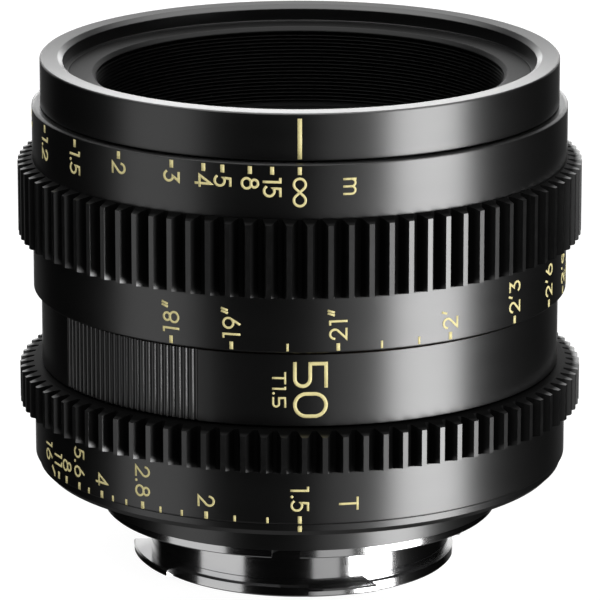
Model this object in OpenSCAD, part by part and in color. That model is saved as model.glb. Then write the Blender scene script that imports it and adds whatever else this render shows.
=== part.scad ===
// Manual cinema prime lens, 50 mm, with a rangefinder-type bayonet.
// Origin: optical axis, on the rear seating face of the bayonet flange.
// +Z points to the front of the lens, -Y is the index side.
// The lens stands focused at infinity with the iris fully open.

/* [Barrel walls] */
// Wall of the focus ring from the cam tube out to the seat of the gears
focus_wall = 3.1; // [3:0.05:3.5]
// Wall of the scale rings outside the seat of the gears
scale_wall = 1.5; // [1.3:0.05:2]
// How far the front ring stays inside the scale rings
front_step = 1.1; // [0.3:0.1:1.3]
// How far the fixed grip barrel stays inside the scale rings
grip_step = 1; // [0.2:0.1:1.2]
// How far the index plate stays inside the scale rings
plate_step = 0.5; // [0.2:0.1:1]
// How far the rear barrel stands out from the bayonet flange
rear_step = 0.7; // [0.2:0.1:1.2]

/* [Lengths along the axis] */
// Height of the rear barrel between flange and index plate
rear_h = 4.3; // [3.9:0.1:6]
// Thickness of the index plate
plate_t = 1.6; // [1.4:0.1:2.2]
// Height of the iris scale
iris_scale_h = 6.76; // [6:0.02:8]
// Height of the iris gear
iris_gear_h = 5.5; // [5:0.1:7]
// Height of the fixed grip barrel
grip_h = 9.23; // [8.5:0.01:12]
// Height of the lower focus scale
feet_scale_h = 7.03; // [6.5:0.01:9]
// Height of the focus gear
focus_gear_h = 10.08; // [9:0.02:12]
// Height of the upper focus scale
metre_scale_h = 6.97; // [6.5:0.01:8]
// Height of the front ring
front_h = 5.9; // [5.6:0.1:8]
// Gap under the iris ring
iris_gap = 0.14; // [0.1:0.02:0.3]
// Gap between the iris ring and the grip barrel
grip_gap = 0.26; // [0.15:0.01:0.4]
// Gap between the grip barrel and the focus ring
focus_gap = 0.45; // [0.4:0.05:0.6]
// Gap between the focus ring and the front ring
front_gap = 0.18; // [0.1:0.02:0.3]

/* [Gears] */
// Teeth on the focus gear and on the iris gear
teeth = 89; // [80:1:96]
// How far the roots of the teeth stand out from the scale rings
tooth_root_step = 0.1; // [0.05:0.05:0.4]
// Height of a tooth from root to tip
tooth_h = 1.8; // [1.4:0.1:2.2]
// Width of a tooth at its tip
tooth_tip_w = 0.66; // [0.5:0.02:0.9]
// Width of a tooth at its root
tooth_root_w = 1.9; // [1.6:0.05:2]
// How far the tooth ends slope back from root to tip
tooth_end_slope = 0.42; // [0.2:0.02:0.8]
// Turn of the iris gear against the focus gear in degrees
iris_gear_turn = 3; // [0:0.1:4]

/* [Grip flutes] */
// Flutes in each of the two grip panels
flutes = 26; // [12:1:30]
// Angle from one flute to the next
flute_pitch = 1.53; // [1.4:0.01:1.8]
// Angle from the index to the nearer end of a panel
flute_start = 22.9; // [15:0.1:40]
// Radius of a flute
flute_r = 0.4; // [0.3:0.05:0.45]
// Depth of a flute
flute_depth = 0.24; // [0.1:0.02:0.34]

/* [Bayonet] */
// Radius through the bayonet
throat_r = 17.6; // [17.4:0.05:18]
// Wall of the bayonet neck
neck_wall = 1.9; // [1.6:0.05:2.2]
// Width of the bayonet flange outside the neck
flange_w = 6.1; // [5.8:0.05:6.4]
// Thickness of the bayonet flange
flange_t = 1.3; // [1.1:0.1:2]
// Length of the neck down to its groove
neck_h = 4.7; // [4:0.1:5]
// Height of the narrow band below the groove
neck_band_h = 0.85; // [0.7:0.05:1.2]
// How far the end rim stands out from the neck
neck_rim_step = 0.6; // [0.4:0.05:1]
// Height of the rim at the end of the bayonet
neck_rim_h = 1.3; // [1.1:0.1:1.6]
// Reach of the lugs outside the neck
lug_reach = 2.3; // [2:0.05:2.4]
// Thickness of the lugs
lug_t = 0.95; // [0.8:0.05:1.1]
// Radius of the notch for the body's lock pin
lock_notch_r = 1.8; // [1.4:0.1:2]
// Distance of the mount screws from the flange's edge
mount_screw_inset = 2.2; // [2.1:0.05:2.5]
// Radius of the red mounting bead
bead_r = 1.2; // [0.9:0.1:1.3]

/* [Front ring] */
// Wall of the front ring at its thread
front_wall = 2.95; // [2.6:0.05:3.1]
// Depth from the rim to the baffle's flange
filter_depth = 2.1; // [1.8:0.1:2.6]
// Width of the bevel at the front bore
filter_bevel = 0.65; // [0.3:0.05:0.8]
// Wall of the baffle out to the guide barrel, with its ribs
baffle_wall = 1.23; // [1.1:0.01:1.4]
// Depth of the baffle's ribs
baffle_rib_depth = 0.45; // [0.3:0.05:0.5]
// Number of baffle ribs
baffle_ribs = 20; // [12:1:24]

/* [Focus drive] */
// Wall of the guide barrel
guide_wall = 1.15; // [1:0.05:1.2]
// Wall of the rotating cam tube
cam_wall = 1.25; // [1.1:0.05:1.3]
// Radial clearance of running fits
run_fit = 0.05; // [0.03:0.01:0.08]
// Travel of the lens block from infinity to the nearest distance
focus_travel = 7.3; // [6:0.1:7.5]
// Turn of the focus ring over that travel in degrees
focus_turn = 207; // [180:1:240]
// Radius of the cam followers
follower_r = 1.1; // [0.9:0.05:1.2]
// Clearance of a follower in its curved slot
cam_play = 0.12; // [0.08:0.01:0.2]
// Thickness of the two thrust washers
washer_t = 0.35; // [0.3:0.01:0.36]
// Axial play at the thrust washers
washer_play = 0.1; // [0.05:0.01:0.15]

/* [Lens block] */
// Distance from the focus ring's lower end down to the stop's seat
block_set = 7.94; // [7.5:0.01:8.5]
// Length of the lens tube
tube_h = 18; // [17.5:0.1:18.4]
// Clearance between the front cell and the baffle's ribs
cell_gap = 0.3; // [0.2:0.05:0.5]
// Width of the front cell's rim out from its retainer
cell_rim_w = 3.4; // [3.2:0.1:3.8]
// Height of the front cell's rim
cell_rim_h = 7.4; // [7:0.1:7.8]
// Wall of the front retainer round the front element
retainer_w = 2; // [1.6:0.1:2.4]
// How far the second group stays inside the front element
mid_step = 3; // [2.6:0.1:3.4]
// Clearance of the rear cell in the bayonet's throat
rear_clearance = 0.45; // [0.3:0.05:0.8]
// Wall of the rear cell
rear_cell_wall = 1.95; // [1.6:0.05:2.1]
// Height of the second group's rear vertex over the stop's seat
front_group_set = 8.6; // [8.4:0.05:8.9]
// Thickness of the first element at its centre
element_1_t = 6; // [5.6:0.1:6.6]
// Thickness of the second element at its centre
element_2_t = 7; // [6.6:0.1:7.6]
// Thickness of the third element at its centre
element_3_t = 2; // [1.7:0.1:2.4]
// Thickness of the fourth element at its centre
element_4_t = 1.8; // [1.5:0.1:2.2]
// Thickness of the fifth element at its centre
element_5_t = 8.5; // [8:0.1:9]
// Thickness of the sixth element at its centre
element_6_t = 4.4; // [4:0.1:5]

/* [Iris] */
// Number of iris blades
blades = 10; // [6:1:10]
// Largest opening of the iris
stop_r = 14.3; // [14:0.1:14.6]
// Width of a blade
blade_w = 5.4; // [5.2:0.1:5.6]
// Angle that a blade's arc covers
blade_arc = 120; // [110:1:122]
// Distance of the blades' pivots outside their arcs
blade_pivot_step = 0.9; // [0.8:0.05:1.1]
// Angle from a blade's pivot to its drive pin
blade_pin_lead = 17.5; // [15:0.5:19]
// Radius of the blade pins
blade_pin_r = 0.45; // [0.35:0.05:0.5]
// Thickness of a blade
blade_t = 0.12; // [0.08:0.01:0.14]
// Distance from one blade to the next
blade_step = 0.2; // [0.18:0.01:0.22]
// Turn of a blade from fully open to fully closed in degrees
blade_turn = 37; // [33:0.5:38]
// Turn of the iris ring over that range in degrees
iris_turn = 68; // [60:1:70]
// Width of the iris plate outside the pivots
iris_rim = 1.8; // [1.7:0.05:2]
// Wall of the iris housing
iris_wall = 2; // [1.8:0.05:2.2]
// Thickness of the fork that the iris ring drives
fork_t = 2; // [1.6:0.1:2.2]
// Radius of the pin that drives the iris
drive_pin_r = 1; // [0.8:0.05:1.1]

/* [Hidden] */

$fn = 96;
index_angle = -90;      // azimuth of the index line
cut = 0.5;              // how far a cutter runs past the wall that it opens
seat_gap = 0.02;        // gap round a piece that is threaded or pressed in
slack = 0.1;            // gap at the end of a piece that doesn't bear on its neighbour

// Radii from the stop outwards to the tips of the teeth
blade_pivot_r = stop_r + blade_w + blade_pivot_step;
iris_wall_bore_r = blade_pivot_r + iris_rim;
iris_housing_r = iris_wall_bore_r + iris_wall;
rear_flange_step = 0.2;
rear_flange_r = iris_housing_r + rear_flange_step;
fork_gap = 0.3;
fork_r = rear_flange_r + fork_gap;
guide_gap = 0.55;
guide_bore_r = fork_r + fork_t + guide_gap;
guide_r = guide_bore_r + guide_wall;
cam_bore_r = guide_r + run_fit;
cam_r = cam_bore_r + cam_wall;
focus_bore_r = cam_r + seat_gap;
gear_seat_r = cam_r + focus_wall;
ring_r = gear_seat_r + scale_wall;
gear_root_r = ring_r + tooth_root_step;
gear_tip_r = gear_root_r + tooth_h;

// Radii that step back from the scale rings
front_r = ring_r - front_step;
grip_r = ring_r - grip_step;
plate_r = ring_r - plate_step;
filter_bore_r = front_r - front_wall;

// Radii from the bayonet's throat outwards
neck_r = throat_r + neck_wall;
neck_rim_r = neck_r + neck_rim_step;
lug_r = neck_r + lug_reach;
flange_r = neck_r + flange_w;
rear_r = flange_r + rear_step;
mount_screw_ring_r = flange_r - mount_screw_inset;

// Levels along the axis, from the flange to the front rim
rear_z = flange_t;
plate_z = rear_z + rear_h;
plate_top_z = plate_z + plate_t;
iris_z = plate_top_z + iris_gap;
iris_gear_z = iris_z + iris_scale_h;
iris_top_z = iris_gear_z + iris_gear_h;
grip_z = iris_top_z + grip_gap;
grip_top_z = grip_z + grip_h;
focus_z = grip_top_z + focus_gap;
focus_gear_z = focus_z + feet_scale_h;
metre_z = focus_gear_z + focus_gear_h;
focus_top_z = metre_z + metre_scale_h;
front_z = focus_top_z + front_gap;
rim_z = front_z + front_h;

// Bayonet below the flange
neck_groove_z = -neck_h;
neck_groove_h = 0.12;
neck_groove_depth = 0.25;
rim_top_z = neck_groove_z - neck_groove_h - neck_band_h;
bayonet_end_z = rim_top_z - neck_rim_h;
lug_bevel = 0.2;
lug_top_z = rim_top_z + lug_bevel;
// Each lug starts and ends at an angle from the index, seen from the front
lugs = [[-90, -52], [3, 27], [102, 140], [184, 222]];
lock_notch_angle = index_angle - degrees_of_arc(lock_notch_r, flange_r);
bead_angle = index_angle - 65;
bead_seat = 0.7;
bead_drop = 0.36;       // centre of the bead's crown below the barrel's surface
bead_z = rear_z + rear_h / 2;

// Front ring, baffle and the top of the guide barrel
baffle_seat_step = 0.7;
baffle_seat_r = filter_bore_r - baffle_seat_step;
baffle_r = guide_bore_r - seat_gap;
baffle_tip_r = baffle_r - baffle_wall;
front_floor_z = rim_z - filter_depth;
baffle_flange_t = 0.7;
web_z = front_floor_z - baffle_flange_t;
guide_lip_h = 0.5;
guide_top_z = web_z - guide_lip_h;
collar_z = front_z - slack;
collar_w = 1.7;
front_skirt_w = 1.8;
front_web_t = 1.5;
edge_bevel = 0.15;
filter_bevel_h = 0.52;
scale_bevel = 0.14;

// Screws
screw_r = 0.8;
head_r = 1.4;
small_screw_r = 0.6;
small_head_r = 1.05;
socket_r = 0.45;
socket_depth = 0.5;
screw_tip_gap = 0.2;    // between a screw's tip and the end of its hole

// Fixed grip barrel and its web on the guide barrel's flange
guide_foot_w = 2.9;
guide_foot_r = guide_r + guide_foot_w;
guide_foot_t = 1.7;
foot_screw_ring_r = (guide_r + guide_foot_r) / 2;
grip_web_t = 1.9;
grip_web_z = grip_top_z - grip_web_t;
grip_skirt_w = 1.2;
guide_flange_t = 2;
guide_flange_z = grip_web_z - guide_flange_t;
guide_flange_gap = 0.3;
guide_flange_r = grip_r - grip_skirt_w - guide_flange_gap;
screw_land = 0.3;       // metal that stays beside a screw's head
grip_screw_ring_r = guide_r + small_head_r + screw_land;
stop_pin_r = 0.55;
stop_pin_land = 0.35;
stop_ring_r = grip_screw_ring_r + small_head_r + stop_pin_r + stop_pin_land;
stop_play = 0.1;
stop_depth = 0.8;
stop_angle = 150;
washer_w = 2.1;
washer_gap = 0.3;
washer_bore_r = guide_r + washer_w + washer_gap;

// Cam tube
cam_flange_z = grip_top_z + washer_t + washer_play;
cam_flange_t = 1.6;
cam_flange_step = 0.2;
cam_flange_r = gear_seat_r + cam_flange_step;
cam_top_z = collar_z - washer_t - washer_play;
focus_screw_ring_r = (focus_bore_r + gear_seat_r) / 2;

// Lens block
block_z = focus_z - block_set;
tube_top_z = block_z + tube_h;
block_r = guide_bore_r - run_fit;
cell_r = baffle_tip_r - cell_gap;
retainer_r = cell_r - cell_rim_w;
front_glass_r = retainer_r - retainer_w;
mid_glass_r = front_glass_r - mid_step;
rear_cell_r = throat_r - rear_clearance;
rear_glass_r = rear_cell_r - rear_cell_wall;
baffle_clearance = 0.5; // between the lens tube at its nearest setting and the baffle
baffle_z = tube_top_z + focus_travel + baffle_clearance;
baffle_h = front_floor_z - baffle_z;
follower_set = 12.4;
follower_z = block_z + follower_set;
follower_angles = [60, 180, 300];
follower_shank_r = 0.8;
follower_shank = 2.8;
follower_drop = 0.15;   // its head stays this far inside the cam tube's outside
driver_slot_w = 0.3;
driver_slot_depth = 0.5;
guide_slot_w = 2 * (follower_r + run_fit);
cam_slope = atan(focus_travel / (focus_turn * PI / 180 * (cam_bore_r + cam_wall / 2)));
cam_half_h = follower_r / cos(cam_slope) + cam_play;
cam_steps = 48;
end_relief = 0.06;      // the drilled ends of a channel are this much wider

// Optical surfaces: a level is over the stop's seat, a curvature a multiple of the glass's radius
glass_gap = 0.05;
c1 = 1.85 * front_glass_r;
c2 = 6.3 * front_glass_r;
c3 = 1.31 * mid_glass_r;
c4 = 3.4 * mid_glass_r;
c5 = 0.89 * mid_glass_r;
c6 = 1.02 * rear_glass_r;
c7 = 3 * rear_glass_r;
c8 = 1.7 * rear_glass_r;
c10 = 3 * rear_glass_r;
front_air = 0.8;
v5 = front_group_set;       // rear of element 3
v4 = v5 + element_3_t;      // cement of elements 2 and 3
v3 = v4 + element_2_t;      // front of element 2
v2 = v3 + front_air;        // rear of element 1
v1 = v2 + element_1_t;      // front of element 1
lip_h = 0.7;

// Iris, from the housing's plate down to the cam ring
iris_plate_t = 0.8;
stack_z = block_z - iris_plate_t;
stack_play = 0.1;
blades_z = stack_z - stack_play - blades * blade_step;
cam_ring_t = 1.2;
cam_ring_z = blades_z - stack_play - cam_ring_t;
rear_flange_z = cam_ring_z - stack_play;
rear_flange_t = 1.5;
rear_flange_bottom_z = rear_flange_z - rear_flange_t;
cell_screw_ring_r = (iris_wall_bore_r + iris_housing_r) / 2;
blade_slot_play = 0.1;
blade_slot_r = blade_pin_r + blade_slot_play;
blade_boss_r = 1;
blade_neck_w = 0.5;
blade_pivot_inset = 0.2;
blade_pin_step = 0.1;
blade_pin_circle = blade_pivot_r + blade_pin_step;
blade_slot_steps = 24;
cam_ring_land = 0.3;

// Rear group, from the rear cell's lip down to its retainer
rear_lip_h = 0.8;
rear_rim_w = 2.7;
rear_air = 0.4;
rear_glass_top_z = rear_flange_z - rear_lip_h - glass_gap;
v6_z = rear_glass_top_z - sag(c6, rear_glass_r - rear_rim_w);   // front of element 4
v7_z = v6_z - element_4_t;      // cement of elements 4 and 5
v8_z = v7_z - element_5_t;      // rear of element 5
v9_z = v8_z - rear_air;         // flat front of element 6
v10_z = v9_z - element_6_t;     // rear of element 6

// Drive from the iris ring to the cam ring
drive_angle = 20;
drive_pin_rise = 0.4;
drive_pin_z = iris_gear_z + iris_gear_h / 2 + drive_pin_rise;
fork_half_angle = 5;
fork_tail = 0.3;
fork_z = drive_pin_z - focus_travel - drive_pin_r - fork_tail;
fork_window = 3;
iris_foot_gap = 0.3;
iris_foot_bore_r = guide_foot_r + iris_foot_gap;
iris_foot_play = 0.2;

function degrees_of_arc(length, radius) = length / radius * 180 / PI;
function on_circle(radius, angle) = [radius * cos(angle), radius * sin(angle)];
function turned(p, angle) = [p[0] * cos(angle) - p[1] * sin(angle),
                             p[0] * sin(angle) + p[1] * cos(angle)];
function sag(radius, height) = radius - sqrt(radius * radius - height * height);

// Ring with its lower face at z
module ring(outer, inner, z, h) {
    translate([0, 0, z]) difference() {
        cylinder(r = outer, h = h);
        translate([0, 0, -cut]) cylinder(r = inner, h = h + 2 * cut);
    }
}

// Sector of a ring, from one azimuth to another
module sector(outer, inner, z, h, from, to) {
    rotate([0, 0, from]) rotate_extrude(angle = to - from)
        translate([inner, z]) square([outer - inner, h]);
}

// Solid of revolution from [radius, height] points
module turned_solid(profile) {
    rotate_extrude() polygon(profile);
}

// Children repeated on a circle about the axis
module on_ring(angles, radius, z) {
    for (a = angles) rotate([0, 0, a]) translate([radius, 0, z]) children();
}

function evenly(count, first) = [for (i = [0 : count - 1]) first + i * 360 / count];

// Rod that lies along a radius at one azimuth and height
module radial_rod(radius, from, to, angle, z) {
    rotate([0, 0, angle]) translate([from, 0, z]) rotate([0, 90, 0]) cylinder(r = radius, h = to - from);
}

// Countersunk screw: head face at z = 0, shank along +Z
module countersunk(shank, head, length) {
    difference() {
        union() {
            cylinder(r1 = head, r2 = shank, h = head - shank);
            cylinder(r = shank, h = length);
        }
        translate([0, 0, -cut]) cylinder(r = socket_r, h = cut + socket_depth, $fn = 6);
    }
}

// Room for a countersunk screw
module countersink(shank, head, length) {
    cylinder(r1 = head, r2 = shank, h = head - shank);
    translate([0, 0, -cut]) cylinder(r = head, h = cut);
    cylinder(r = shank, h = length);
}

// Bayonet and rear barrel

mount_screw_angles = evenly(5, index_angle + 30);
mount_screw_l = 3.4;

module bayonet_mount() color("silver") {
    difference() {
        union() {
            turned_solid([
                [throat_r, bayonet_end_z], [neck_rim_r - lug_bevel, bayonet_end_z],
                [neck_rim_r, bayonet_end_z + lug_bevel], [neck_rim_r, rim_top_z],
                [neck_r, rim_top_z + edge_bevel], [neck_r, neck_groove_z - neck_groove_h],
                [neck_r - neck_groove_depth, neck_groove_z - neck_groove_h],
                [neck_r - neck_groove_depth, neck_groove_z], [neck_r, neck_groove_z],
                [neck_r, 0], [flange_r - edge_bevel, 0], [flange_r, edge_bevel],
                [flange_r, flange_t], [throat_r, flange_t]]);
            for (lug = lugs) rotate([0, 0, index_angle + lug[0]]) rotate_extrude(angle = lug[1] - lug[0])
                polygon([[neck_r - cut, lug_top_z - lug_t], [lug_r - lug_bevel, lug_top_z - lug_t],
                         [lug_r, lug_top_z - lug_t + lug_bevel], [lug_r, lug_top_z - lug_bevel],
                         [lug_r - lug_bevel, lug_top_z], [neck_r - cut, lug_top_z]]);
        }
        rotate([0, 0, lock_notch_angle]) translate([flange_r - lock_notch_r, 0, -cut]) {
            cylinder(r = lock_notch_r, h = flange_t + 2 * cut);
            translate([0, -lock_notch_r, 0]) cube([2 * lock_notch_r, 2 * lock_notch_r, flange_t + 2 * cut]);
        }
        on_ring(mount_screw_angles, mount_screw_ring_r, 0) countersink(screw_r, head_r, mount_screw_l);
    }
}

module mount_screws() color("silver")
    on_ring(mount_screw_angles, mount_screw_ring_r, 0) countersunk(screw_r, head_r, mount_screw_l);

module mount_bead() color("red")
    rotate([0, 0, bead_angle]) translate([rear_r - bead_seat, 0, bead_z]) {
        rotate([0, 90, 0]) cylinder(r = bead_r, h = bead_seat);
        translate([bead_seat, 0, 0]) rotate([0, 90, 0]) intersection() {
            translate([0, 0, -bead_drop]) sphere(r = norm([bead_r, bead_drop]));
            cylinder(r = bead_r, h = bead_r);
        }
    }

rear_floor_t = 2.7;
rear_floor_w = 5.1;
rear_floor_bore_r = flange_r - rear_floor_w;
rear_wall = 1.4;
plate_edge_bevel = 0.75;
foot_screw_angles = evenly(4, 45);
foot_screw_l = plate_t + guide_foot_t - screw_tip_gap;

module rear_barrel() color("#1c1c1d") {
    difference() {
        turned_solid([
            [rear_floor_bore_r, rear_z], [rear_r, rear_z], [rear_r, plate_z],
            [plate_r - plate_edge_bevel, plate_z], [plate_r, plate_z + plate_edge_bevel],
            [plate_r, plate_top_z], [rear_r - rear_wall, plate_top_z],
            [rear_r - rear_wall, rear_z + rear_floor_t], [rear_floor_bore_r, rear_z + rear_floor_t]]);
        on_ring(mount_screw_angles, mount_screw_ring_r, 0) cylinder(r = screw_r, h = mount_screw_l);
        on_ring(foot_screw_angles, foot_screw_ring_r, plate_z)
            countersink(small_screw_r, small_head_r, foot_screw_l);
        radial_rod(bead_r, rear_r - bead_seat, rear_r + cut, bead_angle, bead_z);
    }
}

module rear_barrel_screws() color("#2a2a2b")
    on_ring(foot_screw_angles, foot_screw_ring_r, plate_z)
        countersunk(small_screw_r, small_head_r, foot_screw_l);

// Fixed guide barrel with three straight slots and the arc slot of the iris pin

iris_slot_margin = degrees_of_arc(drive_pin_r + run_fit, guide_bore_r) + 1;

module guide_barrel() color("#3a3a3c") {
    difference() {
        union() {
            ring(guide_r, guide_bore_r, plate_top_z, guide_top_z - plate_top_z);
            ring(guide_foot_r, guide_bore_r, plate_top_z, guide_foot_t);
            ring(guide_flange_r, guide_bore_r, guide_flange_z, guide_flange_t);
        }
        for (a = follower_angles) rotate([0, 0, a]) {
            translate([guide_bore_r - cut, -guide_slot_w / 2, follower_z])
                cube([guide_wall + 2 * cut, guide_slot_w, focus_travel]);
            for (z = [follower_z, follower_z + focus_travel])
                radial_rod(guide_slot_w / 2, guide_bore_r - cut, guide_r + cut, 0, z);
        }
        sector(guide_r + cut, guide_bore_r - cut, drive_pin_z - drive_pin_r - run_fit,
               2 * (drive_pin_r + run_fit), drive_angle - iris_slot_margin,
               drive_angle + iris_turn + iris_slot_margin);
        on_ring(foot_screw_angles, foot_screw_ring_r, plate_z) cylinder(r = small_screw_r, h = foot_screw_l);
        on_ring(grip_screw_angles, grip_screw_ring_r, grip_top_z - grip_screw_l)
            cylinder(r = small_screw_r, h = grip_screw_l);
    }
}

// Fixed grip barrel

grip_screw_angles = evenly(4, 20);
grip_screw_l = grip_web_t + guide_flange_t - screw_land;
panel_angle = (flutes - 1) * flute_pitch;

module grip_barrel() color("#1a1a1b") {
    difference() {
        turned_solid([
            [guide_r + seat_gap, grip_web_z], [grip_r - grip_skirt_w, grip_web_z],
            [grip_r - grip_skirt_w, grip_z], [grip_r, grip_z], [grip_r, grip_top_z],
            [guide_r + seat_gap, grip_top_z]]);
        for (side = [0, 180], i = [0 : flutes - 1])
            rotate([0, 0, index_angle - flute_start - i * flute_pitch + side])
                translate([grip_r + flute_r - flute_depth, 0, grip_z - cut])
                    cylinder(r = flute_r, h = grip_h + 2 * cut, $fn = 24);
        on_ring(grip_screw_angles, grip_screw_ring_r, grip_top_z) mirror([0, 0, 1])
            countersink(small_screw_r, small_head_r, grip_screw_l);
        sector(stop_ring_r + stop_pin_r + stop_play, stop_ring_r - stop_pin_r - stop_play,
               grip_top_z - stop_depth, stop_depth + cut,
               stop_angle - degrees_of_arc(stop_pin_r + stop_play, stop_ring_r),
               stop_angle + focus_turn + degrees_of_arc(stop_pin_r + stop_play, stop_ring_r));
    }
}

module grip_screws() color("#2a2a2b")
    on_ring(grip_screw_angles, grip_screw_ring_r, grip_top_z) mirror([0, 0, 1])
        countersunk(small_screw_r, small_head_r, grip_screw_l);

module rear_washer() color("peru")
    ring(guide_r + washer_w, guide_r + seat_gap, grip_top_z, washer_t);

module front_washer() color("peru")
    ring(guide_r + washer_w, guide_r + seat_gap, collar_z - washer_t, washer_t);

// Front ring and the ribbed baffle inside it

module front_ring() color("#1c1c1d")
    turned_solid([
        [guide_r + seat_gap, collar_z], [guide_r + collar_w, collar_z],
        [guide_r + collar_w, web_z - front_web_t], [front_r - front_skirt_w, web_z - front_web_t],
        [front_r - front_skirt_w, front_z], [front_r, front_z],
        [front_r, rim_z - edge_bevel], [front_r - edge_bevel, rim_z],
        [filter_bore_r + filter_bevel, rim_z], [filter_bore_r, rim_z - filter_bevel_h],
        [filter_bore_r, front_floor_z], [baffle_seat_r, front_floor_z], [baffle_seat_r, web_z],
        [guide_bore_r, web_z], [guide_bore_r, guide_top_z],
        [guide_r + seat_gap, guide_top_z]]);

baffle_bevel = 0.5;
rib_face = 0.6;         // share of the pitch that a rib's slope takes
baffle_lip_r = baffle_tip_r + baffle_bevel;
rib_pitch = (baffle_h - baffle_bevel) / baffle_ribs;
rib_profile = [for (i = [0 : baffle_ribs - 1], end = [0, 1])
    let (z = baffle_z + (i + end * rib_face) * rib_pitch)
    [baffle_tip_r + (1 - end) * baffle_rib_depth, z]];

module front_baffle() color("#151515")
    turned_solid(concat(rib_profile, [
        [baffle_tip_r, front_floor_z - baffle_bevel], [baffle_lip_r, front_floor_z],
        [baffle_seat_r - seat_gap, front_floor_z], [baffle_seat_r - seat_gap, web_z],
        [baffle_r, web_z], [baffle_r, baffle_z]]));

// Rings that the hand turns

tooth_foot = 0.15;      // the slope starts this far inside the roots

// Toothed ring: straight-flanked teeth whose ends slope back towards the tips
module spur_ring(z, h, turn) {
    half_tip = degrees_of_arc(tooth_tip_w, gear_tip_r) / 2;
    half_root = degrees_of_arc(tooth_root_w, gear_root_r) / 2;
    outline = [for (i = [0 : teeth - 1], corner = [0 : 3])
        let (middle = index_angle + turn + (i + 0.5) * 360 / teeth,
             offset = [-half_root, -half_tip, half_tip, half_root][corner],
             radius = [gear_root_r, gear_tip_r, gear_tip_r, gear_root_r][corner])
        on_circle(radius, middle + offset)];
    slope_r = gear_root_r - tooth_foot;
    reach = gear_tip_r + cut;
    fall = tooth_end_slope * (reach - slope_r) / (gear_tip_r - slope_r);
    intersection() {
        translate([0, 0, z]) linear_extrude(h) difference() {
            polygon(outline);
            circle(r = gear_seat_r);
        }
        turned_solid([[gear_seat_r - cut, z], [slope_r, z], [reach, z + fall],
                      [reach, z + h - fall], [slope_r, z + h], [gear_seat_r - cut, z + h]]);
    }
}

module focus_ring() color("#1a1a1b") {
    difference() {
        turned_solid([
            [focus_bore_r, cam_flange_z + cam_flange_t], [cam_flange_r + seat_gap, cam_flange_z + cam_flange_t],
            [cam_flange_r + seat_gap, focus_z], [ring_r - scale_bevel, focus_z],
            [ring_r, focus_z + scale_bevel], [ring_r, focus_gear_z], [gear_seat_r, focus_gear_z],
            [gear_seat_r, focus_top_z], [washer_bore_r, focus_top_z],
            [washer_bore_r, cam_top_z], [focus_bore_r, cam_top_z]]);
        on_ring(focus_screw_angles, focus_screw_ring_r, cam_flange_z)
            cylinder(r = small_screw_r, h = focus_screw_l);
    }
}

module focus_gear() color("#0e0e0f") spur_ring(focus_gear_z, focus_gear_h, 0);

module distance_ring() color("#1a1a1b")
    turned_solid([
        [gear_seat_r, metre_z], [ring_r, metre_z], [ring_r, focus_top_z - scale_bevel],
        [ring_r - 3 * scale_bevel, focus_top_z], [gear_seat_r, focus_top_z]]);

// Cam tube: three helical slots, one for each follower

focus_screw_angles = evenly(6, 0);
focus_screw_l = 4.4;

// Helical channel that a follower runs in, from infinity up to the nearest distance
module cam_channel(angle) {
    corners = [[cam_bore_r - cut, -cam_half_h], [cam_r + cut, -cam_half_h],
               [cam_r + cut, cam_half_h], [cam_bore_r - cut, cam_half_h]];
    points = [for (i = [0 : cam_steps], c = corners)
        let (xy = on_circle(c[0], angle - focus_turn * i / cam_steps))
        [xy[0], xy[1], follower_z + focus_travel * i / cam_steps + c[1]]];
    sides = [for (i = [0 : cam_steps - 1], c = [0 : 3])
        [4 * i + c, 4 * i + 4 + c, 4 * i + 4 + (c + 1) % 4, 4 * i + (c + 1) % 4]];
    polyhedron(points, concat([[0, 1, 2, 3]], sides,
        [[4 * cam_steps + 3, 4 * cam_steps + 2, 4 * cam_steps + 1, 4 * cam_steps]]), convexity = 10);
    for (i = [0, 1]) radial_rod(cam_half_h + end_relief, cam_bore_r - cut, cam_r + cut,
        angle - focus_turn * i, follower_z + focus_travel * i);
}

module cam_tube() color("goldenrod") {
    difference() {
        union() {
            ring(cam_r, cam_bore_r, cam_flange_z, cam_top_z - cam_flange_z);
            ring(cam_flange_r, cam_bore_r, cam_flange_z, cam_flange_t);
        }
        for (a = follower_angles) cam_channel(a);
        on_ring(focus_screw_angles, focus_screw_ring_r, cam_flange_z)
            countersink(small_screw_r, small_head_r, focus_screw_l);
        rotate([0, 0, stop_angle]) translate([stop_ring_r, 0, cam_flange_z - cut])
            cylinder(r = stop_pin_r, h = cam_flange_t + 2 * cut);
    }
}

module focus_screws() color("#2a2a2b")
    on_ring(focus_screw_angles, focus_screw_ring_r, cam_flange_z)
        countersunk(small_screw_r, small_head_r, focus_screw_l);

module focus_stop_pin() color("silver")
    rotate([0, 0, stop_angle]) translate([stop_ring_r, 0, grip_top_z - stop_depth + slack])
        cylinder(r = stop_pin_r, h = cam_flange_z + cam_flange_t - grip_top_z + stop_depth - slack);

// Lens block

tube_foot_step = 0.1;
tube_foot_r = iris_housing_r + tube_foot_step;
tube_foot_h = 2.4;
tube_cone_h = 2;
mid_seat_z = block_z + lip_h;
mid_edge_z = block_z + v3 - sag(c3, mid_glass_r);
mid_thread_w = 1.5;
mid_thread_r = mid_glass_r + mid_thread_w;
group_retainer_h = 1.9;
cell_body_w = 0.5;
cell_body_r = retainer_r + cell_body_w;
cell_seat_gap = 0.8;
cell_seat_z = mid_edge_z + slack + group_retainer_h + cell_seat_gap;
lube_groove_drop = 4.8;
lube_groove_z = follower_z - lube_groove_drop;
lube_groove_h = 2.4;
lube_groove_depth = 0.7;

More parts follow.
